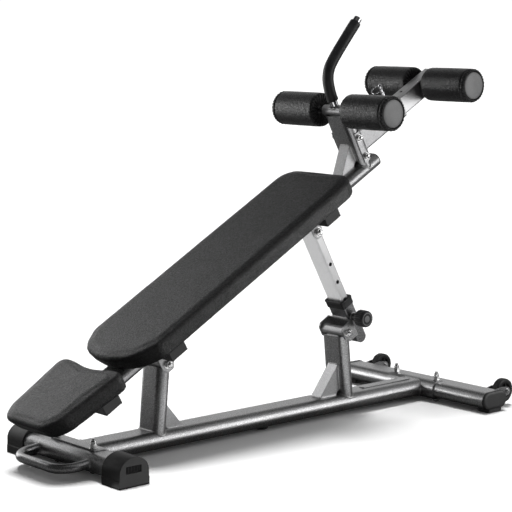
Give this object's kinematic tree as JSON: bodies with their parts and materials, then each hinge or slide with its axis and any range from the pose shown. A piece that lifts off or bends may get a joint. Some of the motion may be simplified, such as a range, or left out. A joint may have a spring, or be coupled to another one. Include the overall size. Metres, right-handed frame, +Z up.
{
  "type": "decline sit up bench",
  "caption": "Decline sit-up bench with a long pad, a head pad, a roller foot hold on a sliding arm, a grip bar, an adjustable rear leg and transport wheels.",
  "frame": {"origin": "on the floor under the middle of the overall length and width", "axes": "+X along the bench from the head end to the foot end, +Y to the side away from the lock knob, +Z up"},
  "size_m": [1.603, 0.614, 1.1792],
  "materials": {
    "frame_paint": "hammered metallic grey",
    "silver_paint": "satin metallic silver",
    "chrome": "satin chrome",
    "zinc": "zinc plated",
    "black_paint": "satin black",
    "black_plastic": "moulded satin",
    "grey_plastic": "moulded satin",
    "black_rubber": "moulded matte",
    "pad_leather": "fine grained upholstery vinyl",
    "roller_leather": "smooth upholstery vinyl over foam",
    "plywood": "plain sanded"
  },
  "bodies": {
    "base": {"base_rail": "frame_paint", "front_cross_tube": "frame_paint", "rear_cross_tube": "frame_paint", "front_saddle": "frame_paint", "rear_saddle": "frame_paint", "front_saddle_bolt_left": "zinc", "front_saddle_bolt_right": "zinc", "rear_saddle_bolt_left": "zinc", "rear_saddle_bolt_right": "zinc", "front_foot_left": "black_rubber", "front_foot_right": "black_rubber", "rear_cap_left": "black_rubber", "rear_cap_right": "black_rubber", "rail_middle_foot": "black_rubber", "rail_top_strap": "frame_paint", "front_post": "frame_paint", "front_post_gusset": "silver_paint", "rear_post": "frame_paint", "rear_post_gusset": "silver_paint", "carry_handle": "frame_paint", "wheel_fork_left": "frame_paint", "wheel_fork_right": "frame_paint", "front_pivot_bolt": "zinc", "rear_pivot_bolt": "zinc"},
    "bench_frame": {"bench_tube": "frame_paint", "bench_tube_cap": "black_plastic", "front_pivot_bracket": "silver_paint", "leg_pivot_bracket": "silver_paint", "leg_pivot_bolt": "zinc", "pad_support_head": "black_paint", "pad_support_lower": "black_paint", "pad_support_upper": "black_paint", "long_pad_board": "plywood", "long_pad_cushion": "pad_leather", "head_pad_board": "plywood", "head_pad_cushion": "pad_leather", "upper_post": "frame_paint", "upper_post_gusset": "silver_paint", "lower_roller_axle": "chrome", "grip_tube": "chrome", "grip_rubber": "black_rubber", "arm_clamp_bracket": "silver_paint", "arm_bolt_lower": "zinc", "arm_bolt_upper": "zinc", "arm_outer_tube": "silver_paint"},
    "arm": {"arm_inner_tube": "chrome", "arm_end_plug": "grey_plastic", "upper_roller_axle": "chrome"},
    "ring_pin": {"ring_pin": "chrome"},
    "lower_roller_left": {"lower_roller_left": "roller_leather"},
    "lower_roller_right": {"lower_roller_right": "roller_leather"},
    "upper_roller_left": {"upper_roller_left": "roller_leather"},
    "upper_roller_right": {"upper_roller_right": "roller_leather"},
    "leg_sleeve": {"leg_sleeve": "frame_paint", "leg_collar": "black_plastic", "leg_sleeve_bracket": "frame_paint"},
    "leg": {"leg_inner_tube": "chrome"},
    "lock_knob": {"lock_knob": "black_plastic"},
    "wheel_left": {"wheel_left": "black_rubber"},
    "wheel_right": {"wheel_right": "black_rubber"}
  },
  "joints": [
    {"name": "frame_hinge", "type": "hinge", "parent": "base", "child": "bench_frame", "pos_m": [-0.36946, 0, 0.24699], "axis": [0, 1, 0], "range_deg": [0, 11]},
    {"name": "sleeve_hinge", "type": "hinge", "parent": "base", "child": "leg_sleeve", "pos_m": [0.3059, 0, 0.252], "axis": [0, 1, 0], "range_deg": [-2.7, 0]},
    {"name": "leg_slide", "type": "slide", "parent": "leg_sleeve", "child": "leg", "axis": [0.484, 0, -0.875], "range_m": [0, 0.126]},
    {"name": "arm_slide", "type": "slide", "parent": "bench_frame", "child": "arm", "axis": [0.8729, 0, 0.4879], "range_m": [-0.07, 0.07]},
    {"name": "ring_pin_pull", "type": "slide", "parent": "bench_frame", "child": "ring_pin", "axis": [-0.4879, 0, 0.8729], "range_m": [0, 0.01]},
    {"name": "lock_knob_pull", "type": "slide", "parent": "leg_sleeve", "child": "lock_knob", "axis": [0, -1, 0], "range_m": [0, 0.01]},
    {"name": "lower_roller_left_spin", "type": "hinge", "parent": "bench_frame", "child": "lower_roller_left", "pos_m": [0.30156, -0.1, 0.90405], "axis": [0, 1, 0], "continuous": true},
    {"name": "lower_roller_right_spin", "type": "hinge", "parent": "bench_frame", "child": "lower_roller_right", "pos_m": [0.30156, -0.1, 0.90405], "axis": [0, 1, 0], "continuous": true},
    {"name": "upper_roller_left_spin", "type": "hinge", "parent": "arm", "child": "upper_roller_left", "pos_m": [0.66759, -0.1, 0.97391], "axis": [0, 1, 0], "continuous": true},
    {"name": "upper_roller_right_spin", "type": "hinge", "parent": "arm", "child": "upper_roller_right", "pos_m": [0.66759, -0.1, 0.97391], "axis": [0, 1, 0], "continuous": true},
    {"name": "wheel_left_spin", "type": "hinge", "parent": "base", "child": "wheel_left", "pos_m": [0.765, 0.258, 0.048], "axis": [0, 1, 0], "continuous": true},
    {"name": "wheel_right_spin", "type": "hinge", "parent": "base", "child": "wheel_right", "pos_m": [0.765, -0.258, 0.048], "axis": [0, 1, 0], "continuous": true}
  ],
  "couplings": [
    {"joint": "sleeve_hinge", "follows": "frame_hinge", "ratio": -0.24},
    {"joint": "leg_slide", "follows": "frame_hinge", "m_per_rad": 0.654}
  ]
}
